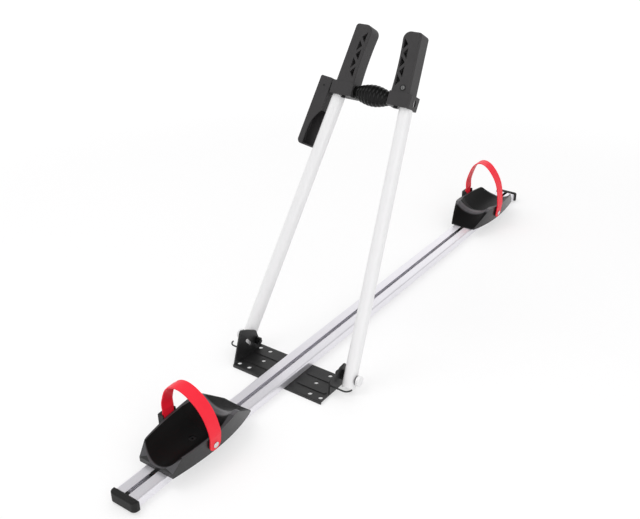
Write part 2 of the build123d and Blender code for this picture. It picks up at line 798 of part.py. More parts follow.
with BuildPart() as clamp_bellows:
    with BuildSketch(Plane(origin=arm_point(0, rod_along), x_dir=across_dir, z_dir=depth_dir)):
        with BuildLine():
            outside = bellows_folds(0)
            inside = bellows_folds(bellows_wall)
            for folds in (outside, inside):
                for rib in range(bellows_ribs):
                    ThreePointArc(*folds[2 * rib:2 * rib + 3])
            for end in (-1, 1):
                place = 0 if end < 0 else -1
                Polyline(
                    outside[place], (end * bellows_start, bellows_end_radius),
                    (end * block_inner, bellows_end_radius), (end * block_inner, inside[place][1]), inside[place],
                )
        make_face()
    revolve(axis=Axis(arm_point(0, rod_along), across_dir))
save(clamp_bellows, "clamp_bellows")


def trough_outline(half, shoulder, floor, reach):
    """The hollow of a cross-section: a bowl between two shoulders, open to a reach on each side."""
    tray_top = tray_floor + tray_rise
    with BuildLine() as outline:
        bowl = ThreePointArc(
            (-half, tray_floor + shoulder), (0, tray_floor + floor), (half, tray_floor + shoulder),
        )
        Polyline(
            bowl @ 1, (reach, tray_floor + shoulder), (reach, tray_top + overrun),
            (-reach, tray_top + overrun), (-reach, tray_floor + shoulder), bowl @ 0,
        )
    return outline


def wheel_tray(tray_middle, facing, name, strap_arch, rivet_along, buckle_along):
    """A tray on the rail, with the slider, screw, strap, rivet and buckle that belong to it."""
    tray_top = tray_floor + tray_rise
    screw_x = tray_middle + tray_screw_along
    strap_x = tray_middle + rivet_along
    buckle_x = tray_middle + buckle_along

    def tray_x(along):
        """A place along the tray, counted from its middle towards its ramp."""
        return tray_middle + facing * along

    def hollow(share, past, half, shoulder, floor, reach):
        """One cross-section of the trough or of the ramp over the closed end."""
        with BuildSketch(Plane.YZ.offset(tray_x(tray_length * share + past))) as section:
            add(trough_outline(half, shoulder, floor, reach))
            make_face()
        return section.sketch

    with BuildPart() as shell:
        for share, base, top in zip(tray_station_share, tray_base_halves, tray_top_halves):
            with BuildSketch(Plane.YZ.offset(tray_x(tray_length * share))):
                Polygon(
                    (-base, tray_floor), (base, tray_floor), (top, tray_top), (-top, tray_top), align=None,
                )
        loft()

    strap_wall = Vector(0, strap_rim[0] - strap_foot[0], strap_rim[1] - strap_foot[1]).normalized()
    rivet_out = Vector(1, 0, 0).cross(strap_wall)
    rivet_share = (rivet_height - strap_foot[1]) / (strap_rim[1] - strap_foot[1])
    rivet_seat = Vector(strap_x, between(strap_foot[0], strap_rim[0], rivet_share), rivet_height)
    rivet_face = rivet_seat + rivet_out * (strap_thickness / 2)

    with BuildPart() as tray:
        add(shell.part)
        sections = []
        for share, half, floor, shoulder in zip(
            trough_station_share, trough_halves, trough_floors, trough_shoulders
        ):
            past_end = -overrun if share == trough_station_share[0] else 0
            sections.append(hollow(share, past_end, half, shoulder, floor, half + running_gap))
        with BuildPart(mode=Mode.PRIVATE) as trough:
            loft(sections[:3])
            loft(sections[2:4])
            loft(sections[3:])
        ramp_reach = max(tray_top_halves) + overrun
        crest = hollow(
            trough_station_share[-1], 0, trough_halves[-1], trough_shoulders[-1], trough_floors[-1], ramp_reach,
        )
        ramp_foot = hollow(tray_station_share[-1], overrun, ramp_foot_half, 0, -ramp_foot_dip, ramp_reach)
        with BuildPart(mode=Mode.PRIVATE) as ramp:
            loft([crest, ramp_foot])
        add(trough.part, mode=Mode.SUBTRACT)
        add(ramp.part, mode=Mode.SUBTRACT)
        with BuildSketch(Plane.XZ) as rim_cut:
            half_length = tray_length / 2
            rim_line = (
                (-half_length - overrun, rim_near_foot), (-half_length, rim_near_foot),
                (-half_length + rim_near_corner[0], rim_near_corner[1]), (0, rim_middle_rise),
                (half_length - rim_peak[0], rim_peak[1]), (half_length + overrun, rim_peak[1]),
                (half_length + overrun, tray_rise + overrun), (-half_length - overrun, tray_rise + overrun),
            )
            Polygon(*((tray_x(along), tray_floor + height) for along, height in rim_line), align=None)
            bends = rim_cut.vertices().filter_by(
                lambda v: abs(v.X - tray_middle) < half_length and v.Y < tray_top
            )
            fillet(bends, rim_round)
        extrude(amount=tray_length, both=True, mode=Mode.SUBTRACT)
        with BuildSketch(Plane.YZ.offset(tray_x(pocket_start))):
            for side in (-1, 1):
                Polygon(
                    (side * pocket_inner, rail_top), (side * pocket_outer, rail_top),
                    (side * pocket_outer, tray_floor + pocket_outer_rise),
                    (side * pocket_inner, tray_floor + pocket_inner_rise), align=None,
                )
        extrude(amount=facing * (pocket_end - pocket_start), mode=Mode.SUBTRACT)
        with BuildSketch(Plane.XY.offset(tray_floor + tray_screw_seat)):
            with Locations((screw_x, 0)):
                Circle(tray_screw_head + glide_gap)
        extrude(amount=tray_rise, mode=Mode.SUBTRACT)
        with BuildSketch(Plane.XY.offset(rail_top)):
            with Locations((screw_x, 0)):
                Circle(tray_screw_radius + running_gap)
        extrude(amount=tray_rise, mode=Mode.SUBTRACT)
        with BuildSketch(Plane(origin=rivet_face, z_dir=rivet_out)):
            Circle(rivet_radius + running_gap)
        extrude(amount=rivet_length + overrun, both=True, mode=Mode.SUBTRACT)
    save(tray, f"{name}_wheel_tray")

    slider_x = tray_middle + slider_start
    slider_head_top = rail_top - rail_wall - glide_gap
    with BuildPart() as slider:
        with BuildSketch(Plane.YZ.offset(slider_x)):
            with Locations((0, slider_head_top - slider_head_height / 2)):
                Rectangle(slider_head_width, slider_head_height)
            with Locations((0, (slider_head_top + tray_floor) / 2)):
                Rectangle(slot_width - 2 * glide_gap, tray_floor - slider_head_top)
        extrude(amount=slider_length)
        with BuildSketch(Plane.XY.offset(rail_bottom)):
            with Locations((screw_x, 0)):
                Circle(tray_screw_radius + running_gap)
        extrude(amount=rail_top, mode=Mode.SUBTRACT)
    save(slider, f"{name}_tray_slider")

    screw_end = slider_head_top - slider_head_height
    screw_seat = tray_floor + tray_screw_seat
    with BuildPart() as screw:
        with BuildSketch(Plane.XY.offset(screw_end)):
            with Locations((screw_x, 0)):
                Circle(tray_screw_radius)
        extrude(amount=screw_seat - screw_end)
        with BuildSketch(Plane.XY.offset(screw_seat)):
            with Locations((screw_x, 0)):
                Circle(tray_screw_head)
        extrude(amount=tray_screw_head_height)
        with BuildSketch(Plane.XY.offset(screw_seat + tray_screw_head_height)):
            with Locations((screw_x, 0)):
                RegularPolygon(hex_key_flats / 2, 6, major_radius=False)
        extrude(amount=-hex_key_depth, mode=Mode.SUBTRACT)
    save(screw, f"{name}_tray_screw")

    def strap_point(across, height):
        """A point of the strap's middle line, which runs over from the rivet's place to the buckle's."""
        share = (across - strap_rim[0]) / (strap_left_rim[0] - strap_rim[0])
        eased = share * share * (3 - 2 * share)
        return Vector(between(strap_x, buckle_x, eased), across, height)

    def strap_section(place, direction):
        """The strap's cross-section at a place, kept flat along X and square to its direction across the tray."""
        section_plane = Plane(origin=place, x_dir=(1, 0, 0), z_dir=Vector(0, direction.Y, direction.Z))
        with BuildSketch(section_plane) as section:
            Rectangle(strap_width, strap_thickness)
        return section.sketch

    foot, tail = Vector(strap_x, *strap_foot), Vector(buckle_x, *strap_tail)
    rim, left_rim = strap_point(*strap_rim), strap_point(*strap_left_rim)
    arch = Spline(
        rim, *(strap_point(*place) for place in strap_arch), left_rim, tangents=[rim - foot, tail - left_rim]
    )
    with BuildPart() as strap:
        loft([strap_section(arch @ share, arch % share) for share in strap_stations])
        extrude(strap_section(foot, rim - foot), amount=(rim - foot).length)
        extrude(strap_section(tail, left_rim - tail), amount=(left_rim - tail).length)
        with BuildSketch(Plane(origin=rivet_face, z_dir=rivet_out)):
            Circle(rivet_radius + running_gap)
        extrude(amount=strap_thickness + overrun, both=True, mode=Mode.SUBTRACT)
    save(strap, f"{name}_strap")

    with BuildPart() as rivet:
        with BuildSketch(Plane(origin=rivet_face, z_dir=rivet_out)):
            Circle(rivet_head_radius)
        extrude(amount=rivet_head_height)
        fillet(rivet.edges().filter_by(GeomType.CIRCLE).sort_by(Axis.Y)[0], rivet_edge)
        with BuildSketch(Plane(origin=rivet_face, z_dir=rivet_out)):
            Circle(rivet_radius)
        extrude(amount=-rivet_length)
    save(rivet, f"{name}_strap_rivet")

    pin_y = buckle_outer_wall + buckle_lever_gap + buckle_lever_thickness / 2
    recess_half = buckle_width / 2 - buckle_cheek
    with BuildPart() as buckle:
        with BuildSketch(Plane.YZ.offset(buckle_x)) as buckle_profile:
            Polygon(
                (buckle_inner, buckle_bottom), (buckle_outer, buckle_bottom), (buckle_outer, buckle_top),
                (buckle_inner, buckle_top), align=None,
            )
            fillet(buckle_profile.vertices().group_by(Axis.X)[-1], buckle_edge)
        extrude(amount=buckle_width / 2, both=True)
        add(shell.part, mode=Mode.SUBTRACT)
        with BuildSketch(Plane.YZ.offset(buckle_x)):
            slot_outer = strap_tail[0] + strap_thickness / 2 + buckle_slot_clear
            Polygon(
                (buckle_inner, strap_tail[1] - buckle_slot_clear), (slot_outer, strap_tail[1] - buckle_slot_clear),
                (slot_outer, buckle_top + overrun), (buckle_inner, buckle_top + overrun), align=None,
            )
        extrude(amount=strap_width / 2 + buckle_slot_clear, both=True, mode=Mode.SUBTRACT)
        with BuildSketch(Plane.YZ.offset(buckle_x)):
            Polygon(
                (buckle_outer_wall, buckle_bottom - overrun), (buckle_outer + overrun, buckle_bottom - overrun),
                (buckle_outer + overrun, buckle_top + overrun), (buckle_outer_wall, buckle_top + overrun),
                align=None,
            )
        extrude(amount=recess_half, both=True, mode=Mode.SUBTRACT)
        with BuildSketch(Plane.YZ.offset(buckle_x)):
            with Locations((pin_y, buckle_pin_height)):
                Circle(buckle_pin_radius + running_gap)
        extrude(amount=buckle_width, both=True, mode=Mode.SUBTRACT)
    save(buckle, f"{name}_buckle")

    with BuildPart() as buckle_lever:
        with BuildSketch(Plane.YZ.offset(buckle_x)):
            lever_inner = pin_y - buckle_lever_thickness / 2
            lever_outer = pin_y + buckle_lever_thickness / 2
            Polygon(
                (lever_inner, buckle_pin_height), (lever_outer, buckle_pin_height),
                (lever_outer, buckle_lever_top - 2 * buckle_lever_lip),
                (lever_outer + buckle_lever_lip, buckle_lever_top), (lever_inner, buckle_lever_top), align=None,
            )
            with Locations((pin_y, buckle_pin_height)):
                Circle(buckle_lever_thickness / 2)
                Circle(buckle_pin_radius + running_gap, mode=Mode.SUBTRACT)
        extrude(amount=recess_half - buckle_lever_gap, both=True)
    save(buckle_lever, f"{name}_buckle_lever")

    with BuildPart() as buckle_pin:
        with BuildSketch(Plane.YZ.offset(buckle_x)):
            with Locations((pin_y, buckle_pin_height)):
                Circle(buckle_pin_radius)
        extrude(amount=buckle_width / 2, both=True)
    save(buckle_pin, f"{name}_buckle_pin")


wheel_tray(tray_middle_near, 1, "near", near_strap_arch, near_rivet_along, near_buckle_along)
wheel_tray(tray_middle_far, -1, "far", far_strap_arch, far_rivet_along, far_buckle_along)
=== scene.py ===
import bpy, bmesh, json, math
from mathutils import Matrix, Vector
from mathutils.bvhtree import BVHTree


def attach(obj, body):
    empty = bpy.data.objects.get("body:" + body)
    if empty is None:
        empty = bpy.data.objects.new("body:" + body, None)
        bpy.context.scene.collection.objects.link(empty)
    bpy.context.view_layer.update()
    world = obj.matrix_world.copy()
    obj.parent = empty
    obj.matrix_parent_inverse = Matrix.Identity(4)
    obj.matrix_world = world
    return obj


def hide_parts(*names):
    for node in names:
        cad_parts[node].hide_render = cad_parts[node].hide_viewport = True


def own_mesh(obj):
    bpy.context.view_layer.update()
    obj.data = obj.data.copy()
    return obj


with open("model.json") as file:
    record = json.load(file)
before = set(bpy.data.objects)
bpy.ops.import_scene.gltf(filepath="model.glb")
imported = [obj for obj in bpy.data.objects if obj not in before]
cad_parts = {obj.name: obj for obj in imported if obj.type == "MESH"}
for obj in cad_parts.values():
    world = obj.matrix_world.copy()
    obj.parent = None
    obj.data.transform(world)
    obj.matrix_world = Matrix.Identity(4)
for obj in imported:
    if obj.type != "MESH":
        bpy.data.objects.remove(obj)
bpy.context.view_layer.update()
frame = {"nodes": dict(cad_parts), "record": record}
nodes = frame["nodes"]
MM = 0.001

# The arms' own directions and places, as the CAD has them: how far they lean, the middle of their pivots,
# how far along them the clamp's rod lies, and how far from the middle the clamp blocks' inner faces are
ARM_LEAN = math.radians(30.2)
ALONG = Vector((math.sin(ARM_LEAN), 0, math.cos(ARM_LEAN)))
DEPTH = Vector((math.cos(ARM_LEAN), 0, -math.sin(ARM_LEAN)))
ACROSS = Vector((0, 1, 0))
ARM_PIVOT = Vector((25.8, 0, 24.5)) * MM
ROD_ALONG = 499 * MM
BLOCK_INNER = 38 * MM

# The photograph's viewpoint, solved from the rail, the bracket and the arms: its place in metres, its yaw,
# pitch and roll in degrees, its focal length and the picture's width in pixels, its sensor's width in
# millimetres, and how far it sees in metres
CAMERA_PLACE = Vector((-1.0349, -0.8257, 0.9587))
CAMERA_ANGLES = (36.0, 28.53, -0.97)
FOCAL_PIXELS, PICTURE_PIXELS = 876.3, 640
SENSOR_WIDTH, FARTHEST = 36, 50


def arm_point(across, along):
    """A place on the clamp, by its distance from the arms' middle plane and its distance along them."""
    return ARM_PIVOT + ACROSS * across + ALONG * along


def linked(name, data):
    """A new object in the scene."""
    made = bpy.data.objects.new(name, data)
    bpy.context.scene.collection.objects.link(made)
    return made


def photo_camera():
    """A camera at the photograph's own viewpoint."""
    yaw, pitch, roll = (math.radians(angle) for angle in CAMERA_ANGLES)
    forward = Vector((math.cos(yaw) * math.cos(pitch), math.sin(yaw) * math.cos(pitch), -math.sin(pitch)))
    right = Vector((math.sin(yaw), -math.cos(yaw), 0))
    up = right.cross(forward)
    turned_right = right * math.cos(roll) + up * math.sin(roll)
    turned_up = up * math.cos(roll) - right * math.sin(roll)
    turn = Matrix((turned_right, turned_up, -forward)).transposed()
    camera = linked("photo_camera", bpy.data.cameras.new("photo_camera"))
    camera.matrix_world = Matrix.Translation(CAMERA_PLACE) @ turn.to_4x4()
    camera.data.sensor_width = SENSOR_WIDTH
    camera.data.lens = FOCAL_PIXELS / PICTURE_PIXELS * SENSOR_WIDTH
    camera.data.clip_end = FARTHEST
    bpy.context.scene.camera = camera


photo_camera()


# Node maths

class Signal:
    """One output socket; sums, products and comparisons of signals add the Math nodes they need."""

    def __init__(self, maker, socket):
        self.maker, self.socket = maker, socket

    def _math(self, operation, *values, clamp=False):
        return self.maker.add("ShaderNodeMath", {"operation": operation, "use_clamp": clamp}, *values)

    def __add__(self, other):
        return self._math("ADD", self, other)

    def __sub__(self, other):
        return self._math("SUBTRACT", self, other)

    def __rsub__(self, other):
        return self._math("SUBTRACT", other, self)

    def __mul__(self, other):
        return self._math("MULTIPLY", self, other)

    def __truediv__(self, other):
        return self._math("DIVIDE", self, other)

    def __pow__(self, other):
        return self._math("POWER", self, other)

    def __gt__(self, other):
        return self._math("GREATER_THAN", self, other)

    def __lt__(self, other):
        return self._math("LESS_THAN", self, other)

    def __abs__(self):
        return self._math("ABSOLUTE", self)

    __radd__, __rmul__ = __add__, __mul__

    def sine(self):
        return self._math("SINE", self)

    def cosine(self):
        return self._math("COSINE", self)

    def clamped(self):
        return self._math("ADD", self, 0.0, clamp=True)


class NodeTree:
    """Adds nodes to a tree: a node's type, its settings, and then the values or links of its sockets."""

    def __init__(self, tree):
        self.tree = tree

    def add(self, kind, settings=None, *values, output=0, **named):
        node = self.tree.nodes.new(kind)
        for setting, value in (settings or {}).items():
            setattr(node, setting, value)
        pairs = [(node.inputs[i], value) for i, value in enumerate(values)]
        pairs += [(node.inputs[name.replace("_", " ")], value) for name, value in named.items()]
        for socket, value in pairs:
            self.give(socket, value)
        return Signal(self, node.outputs[output])

    def give(self, socket, value):
        if isinstance(value, Signal):
            self.tree.links.new(value.socket, socket)
        else:
            socket.default_value = value

    def split(self, vector):
        """The three parts of a vector."""
        parts = self.tree.nodes.new("ShaderNodeSeparateXYZ")
        self.give(parts.inputs[0], vector)
        return [Signal(self, socket) for socket in parts.outputs]

    def joined(self, x, y, z):
        return self.add("ShaderNodeCombineXYZ", {}, x, y, z)

    def eased(self, value, start, end, low, high):
        """Runs smoothly from low to high while a value runs from start to end."""
        return self.add("ShaderNodeMapRange", {"interpolation_type": "SMOOTHSTEP"}, value, From_Min=start,
                        From_Max=end, To_Min=low, To_Max=high)

    def rays(self, *kinds):
        """For each kind of ray, whether a ray is of that kind."""
        outputs = self.tree.nodes.new("ShaderNodeLightPath").outputs
        return [Signal(self, outputs["Is " + kind + " Ray"]) for kind in kinds]

    def shader_mix(self, factor, first, second):
        return self.add("ShaderNodeMixShader", {}, factor, first, second)


# The sockets of a Mix node that mixes colours, and how rough every noise is
MIX_FACTOR, MIX_FIRST, MIX_SECOND, MIX_RESULT = 0, 6, 7, 2
NOISE_ROUGHNESS = 0.55


class Finish(NodeTree):
    """A material whose nodes are added one by one, with the shader's constants on its own sockets."""

    def __init__(self, name, **constants):
        self.material = bpy.data.materials.new(name)
        self.material.use_nodes = True
        super().__init__(self.material.node_tree)
        self.shader = self.tree.nodes["Principled BSDF"]
        for socket, value in constants.items():
            self.shader.inputs[socket.replace("_", " ")].default_value = value
        self.place = Signal(self, self.tree.nodes.new("ShaderNodeTexCoord").outputs["Object"])

    def stretched(self, scale):
        """The object's own coordinates, scaled on each axis."""
        return self.add("ShaderNodeMapping", {}, Vector=self.place, Scale=scale)

    def grain(self, scale, detail=3.0, place=None):
        """A smooth noise between 0 and 1; scale is in features a metre."""
        return self.add("ShaderNodeTexNoise", {}, Vector=place or self.place, Scale=scale, Detail=detail,
                        Roughness=NOISE_ROUGHNESS)

    def attribute(self, name):
        """A number that a piece's own mesh carries at each point or face."""
        return self.add("ShaderNodeAttribute", {"attribute_name": name}, output="Fac")

    def mixed(self, factor, first, second):
        """A colour between two colours."""
        node = self.tree.nodes.new("ShaderNodeMix")
        node.data_type = "RGBA"
        for place, value in ((MIX_FACTOR, factor), (MIX_FIRST, first), (MIX_SECOND, second)):
            self.give(node.inputs[place], value)
        return Signal(self, node.outputs[MIX_RESULT])

    def feed(self, **sockets):
        for socket, signal in sockets.items():
            self.give(self.shader.inputs[socket.replace("_", " ")], signal)
        return self

    def bumped(self, height, distance):
        """Raises the surface by a height between 0 and 1 times a distance in metres."""
        return self.feed(Normal=self.add("ShaderNodeBump", {}, Height=height, Distance=distance, Strength=1.0))


def shade(value, tint=(1, 1, 1)):
    """A colour from its lightness and a faint tint."""
    return (value * tint[0], value * tint[1], value * tint[2], 1)


# Finishes

def anodised_rail():
    """Brushed and anodised aluminium, with its streaks along the rail."""
    finish = Finish("anodised_rail", Metallic=0.7)
    streaks = finish.grain(1.0, detail=4, place=finish.stretched((6, 900, 900)))
    cloud = finish.grain(14)
    dull, bright = shade(0.78, (1, 0.985, 1.04)), shade(0.92, (1, 0.985, 1.03))
    finish.feed(
        Base_Color=finish.mixed((streaks * 0.6 + cloud * 0.4).clamped(), dull, bright),
        Roughness=streaks * 0.14 + 0.26,
    )
    return finish.bumped(streaks, 0.00006).material


def white_powder_coat():
    """White powder coat with a fine orange peel."""
    finish = Finish("white_powder_coat", Coat_Weight=0.2, Coat_Roughness=0.12)
    peel = finish.grain(900, detail=2)
    cloud = finish.grain(9)
    finish.feed(
        Base_Color=finish.mixed(cloud, shade(0.83, (1, 1, 1.01)), shade(0.88)),
        Roughness=cloud * 0.08 + 0.30,
    )
    return finish.bumped(peel, 0.00008).material


def black_powder_coat():
    """Gritty black powder coat, rubbed paler here and there."""
    finish = Finish("black_powder_coat")
    grit = finish.grain(1500, detail=2)
    rubbed = finish.grain(35, detail=5) ** 3.0
    finish.feed(
        Base_Color=finish.mixed((rubbed * 1.6).clamped(), shade(0.006), shade(0.035, (1, 1, 1.03))),
        Roughness=rubbed * 0.25 + 0.38,
    )
    return finish.bumped(grit, 0.00012).material


def plated(name, dull, bright, rough):
    """Zinc or oxide on steel, with the faint spangle of the bath."""
    finish = Finish(name, Metallic=1.0)
    spangle = finish.grain(260, detail=4)
    finish.feed(Base_Color=finish.mixed(spangle, dull, bright), Roughness=spangle * 0.2 + rough)
    return finish.bumped(spangle, 0.00005).material


def turned_steel():
    """Bare steel turned in a lathe, with its rings across the rod."""
    finish = Finish("turned_steel", Metallic=1.0)
    rings = finish.grain(1.0, detail=2, place=finish.stretched((40, 3000, 40)))
    finish.feed(Base_Color=finish.mixed(rings, shade(0.45), shade(0.68)), Roughness=rings * 0.15 + 0.22)
    return finish.bumped(rings, 0.00005).material


def moulded(name, dark, pale, rough, spread, grain_depth, grain_scale=1400, tint=(1, 1, 1), **constants):
    """A moulded plastic: a fine grain, and a little drift in colour and gloss."""
    finish = Finish(name, **constants)
    grain = finish.grain(grain_scale, detail=2)
    drift = finish.grain(22, detail=4)
    finish.feed(
        Base_Color=finish.mixed(drift, shade(dark, tint), shade(pale, tint)),
        Roughness=(drift * spread + grain * (spread * 0.4) + rough).clamped(),
    )
    return finish.bumped(grain, grain_depth).material


# Where a tray's trough ends, in metres from the tray's middle, how far the painted highlight of its bow curls
# round it, and the crest between its trough and its ramp, which gets a painted highlight too; each fades over
# its blend
BOW_AT, BOW_CURL, BOW_BLEND = 0.093, 9.0, 0.003
CREST_FROM, CREST_TO, CREST_BLEND = 0.037, 0.059, 0.005


def tray_finish():
    """Black tray plastic: matt in the trough, glossier outside, with painted shade making the trough darker
    than its outer walls, and a painted highlight in grey on its rim, bow and crest.
    """
    finish = Finish("tray_plastic", Specular_IOR_Level=0.1, Coat_Roughness=0.24)
    outside, rim, lengthwise, across = map(finish.attribute, ("outside", "rim", "lengthwise", "across"))
    # Masks of painted highlight: the bow at the trough's end, the crest between trough and ramp, and the rim.
    # Together they make the painted highlight mask, and a scuff noise breaks it into patches and also varies
    # the roughness
    bow = ((across * across * BOW_CURL - lengthwise - BOW_AT) / BOW_BLEND).clamped()
    past_start = ((lengthwise - CREST_FROM) / CREST_BLEND).clamped()
    before_end = ((CREST_TO - lengthwise) / CREST_BLEND).clamped()
    painted_highlight = ((bow * 0.9 + past_start * before_end) * (1.0 - outside) + rim * 0.6).clamped()
    grain = finish.grain(1200, detail=2)
    scuffs_and_highlight_patches = finish.grain(60, detail=5, place=finish.stretched((1, 3, 3)))
    # Painted shade: the trough's colour is darker than the outer walls' colour, though both are the same
    # plastic; the painted highlight's paler grey is mixed over it
    trough_shaded_colour = finish.mixed(outside, shade(0.0035), shade(0.020, (1, 0.98, 1.02)))
    finish.feed(
        Base_Color=finish.mixed((painted_highlight * (scuffs_and_highlight_patches * 0.5 + 0.6)).clamped(), trough_shaded_colour, shade(0.105, (1, 0.98, 1.05))),
        Roughness=grain * 0.1 + scuffs_and_highlight_patches * 0.14 + 0.34,
        Coat_Weight=(outside * 0.6 + painted_highlight * 0.35 + 0.03).clamped(),
    )
    return finish.bumped(grain, 0.00007).material


# Radians a metre of the faint lines across a strap: one every 1.4 mm; and the strap's two reds
STRAP_LINES = 2 * math.pi / 0.0014
DEEP_RED, BRIGHT_RED = (0.90, 0.009, 0.028, 1), (0.99, 0.018, 0.045, 1)


def strap_finish():
    """Red strap plastic, drawn in one direction, so it has faint lines across it."""
    finish = Finish("strap_plastic", Specular_IOR_Level=0.35)
    drift = finish.grain(30, detail=3)
    lines = (finish.attribute("along") * STRAP_LINES).sine()
    grain = finish.grain(1800, detail=2)
    finish.feed(
        Base_Color=finish.mixed((drift + lines * 0.05).clamped(), DEEP_RED, BRIGHT_RED),
        Roughness=drift * 0.12 + 0.36,
    )
    return finish.bumped(lines * 0.3 + grain * 0.4, 0.00005).material


def polished_chrome():
    """Bright polished metal under a slight haze."""
    finish = Finish("polished_chrome", Metallic=1.0)
    haze = finish.grain(120, detail=3)
    finish.feed(Base_Color=finish.mixed(haze, shade(0.60), shade(0.78)), Roughness=haze * 0.1 + 0.10)
    return finish.material


def lock_finish():
    """A lock's face: dull chrome with a darker bloom."""
    finish = Finish("lock_chrome", Metallic=1.0)
    bloom = finish.grain(700, detail=3)
    finish.feed(Base_Color=finish.mixed(bloom, shade(0.16), shade(0.34)), Roughness=bloom * 0.2 + 0.24)
    return finish.bumped(bloom, 0.00004).material


slot_finishes = {
    "rail_aluminium": anodised_rail(),
    "black_plastic": moulded(
        "black_plastic", dark=0.004, pale=0.009, rough=0.36, spread=0.2, grain_depth=0.0001,
        Specular_IOR_Level=0.3,
    ),
    "black_paint": black_powder_coat(),
    "pad_rubber": moulded(
        "pad_rubber", dark=0.012, pale=0.022, rough=0.62, spread=0.2, grain_depth=0.0002, grain_scale=700
    ),
    "zinc_steel": plated("zinc_plate", shade(0.50, (1, 1, 1.02)), shade(0.70, (1, 0.99, 0.96)), rough=0.28),
    "black_steel": plated("black_oxide", shade(0.018), shade(0.05, (1, 1, 1.04)), rough=0.36),
    "white_paint": white_powder_coat(),
    "charcoal_plastic": moulded(
        "charcoal_plastic", dark=0.030, pale=0.044, rough=0.40, spread=0.16, grain_depth=0.00012,
        grain_scale=1300, tint=(1, 0.95, 0.98), Specular_IOR_Level=0.35,
    ),
    "lock_chrome": lock_finish(),
    "lock_ring": moulded(
        "lock_ring_plastic", dark=0.003, pale=0.006, rough=0.3, spread=0.1, grain_depth=0.00005
    ),
    "rod_steel": turned_steel(),
    "bellows_plastic": moulded(
        "bellows_plastic", dark=0.002, pale=0.004, rough=0.3, spread=0.1, grain_depth=0.00003,
        grain_scale=900, Specular_IOR_Level=0.06, Coat_Weight=0.32, Coat_Roughness=0.05,
    ),
    "tray_plastic": tray_finish(),
    "strap_plastic": strap_finish(),
    "rivet_aluminium": polished_chrome(),
}
node_slot = {part["node"]: part["material_slot"] for part in frame["record"]["subparts"]}
for name, node in nodes.items():
    node.data.materials.clear()
    node.data.materials.append(slot_finishes[node_slot[name]])


# Pieces

# How near, in metres, two points count as one; how sharply an edge bends before it is broken, and in how
# many steps; and how little two faces bend to count as one, on most parts and on the trays. Angles are in
# degrees
SAME_POINT = 1e-6
BROKEN_ANGLE, EDGE_STEPS = 28, 2
FLAT_ANGLE, TRAY_FLAT_ANGLE = 0.6, 0.02


def piece_from(name, mesh, body, slot_name, *replaced):
    """Links a finished mesh as a piece that rides on a body and stands for CAD nodes."""
    piece = linked(name, mesh)
    if not mesh.materials:
        mesh.materials.append(slot_finishes[slot_name])
    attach(piece, body)
    if replaced:
        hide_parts(*replaced)
    return piece


def body_of_node(node_name):
    bodies = frame["record"]["behaviour"]["bodies"]
    return next(body for body, members in bodies.items() if node_name in members)


def applied(host):
    """The mesh that an object's modifiers make; the object itself goes."""
    bpy.context.view_layer.update()
    mesh = bpy.data.meshes.new_from_object(host.evaluated_get(bpy.context.evaluated_depsgraph_get()))
    bpy.data.objects.remove(host)
    return mesh


def softened(node_name, edge, first=None, flat=FLAT_ANGLE):
    """The CAD node's own shape with its edges broken, as moulding, pressing or extruding leaves them."""
    mesh = nodes[node_name].data.copy()
    solid = bmesh.new()
    solid.from_mesh(mesh)
    bmesh.ops.remove_doubles(solid, verts=solid.verts, dist=SAME_POINT)
    bmesh.ops.dissolve_limit(solid, angle_limit=math.radians(flat), verts=solid.verts, edges=solid.edges)
    if first:
        first(solid)
    solid.to_mesh(mesh)
    solid.free()
    mesh.name = node_name + "_softened"
    for polygon in mesh.polygons:
        polygon.use_smooth = True
    shape = linked(mesh.name, mesh)
    bevel = shape.modifiers.new("edges", "BEVEL")
    bevel.width, bevel.segments = edge, EDGE_STEPS
    bevel.limit_method, bevel.angle_limit = "ANGLE", math.radians(BROKEN_ANGLE)
    evened = shape.modifiers.new("evened", "WEIGHTED_NORMAL")
    evened.keep_sharp = True
    slot_name = node_slot[node_name]
    return piece_from(node_name + "_finished", applied(shape), body_of_node(node_name), slot_name, node_name)


# Pieces grown by Geometry Nodes

def grown(name, sizes, plan, body, slot_name, *replaced, sharp=40, base=None):
    """A piece whose mesh a Geometry Nodes tree makes from named sizes, turned into a plain mesh."""
    maker = NodeTree(bpy.data.node_groups.new(name, "GeometryNodeTree"))
    interface = maker.tree.interface
    interface.new_socket("Base", in_out="INPUT", socket_type="NodeSocketGeometry")
    sockets = {}
    for label, value in sizes.items():
        kind = "NodeSocketInt" if isinstance(value, int) else "NodeSocketFloat"
        sockets[label] = interface.new_socket(label, in_out="INPUT", socket_type=kind)
    interface.new_socket("Mesh", in_out="OUTPUT", socket_type="NodeSocketGeometry")
    entry = maker.tree.nodes.new("NodeGroupInput")
    given = {label: Signal(maker, entry.outputs[label]) for label in sizes}
    shape = plan(maker, Signal(maker, entry.outputs["Base"]), **given)
    plain = maker.add("GeometryNodeRealizeInstances", {}, shape)
    coated = maker.add("GeometryNodeSetMaterial", {}, Geometry=plain, Material=slot_finishes[slot_name])
    maker.tree.links.new(coated.socket, maker.tree.nodes.new("NodeGroupOutput").inputs[0])
    host = linked(name + "_plan", base or bpy.data.meshes.new(name + "_plan"))
    steps = host.modifiers.new("plan", "NODES")
    steps.node_group = maker.tree
    for label, value in sizes.items():
        steps[sockets[label].identifier] = value
    mesh = applied(host)
    mesh.name = name
    solid = bmesh.new()
    solid.from_mesh(mesh)
    bmesh.ops.recalc_face_normals(solid, faces=solid.faces)
    for face in solid.faces:
        face.smooth = True
    solid.to_mesh(mesh)
    solid.free()
    mesh.set_sharp_from_angle(angle=math.radians(sharp))
    return piece_from(name, mesh, body, slot_name, *replaced)


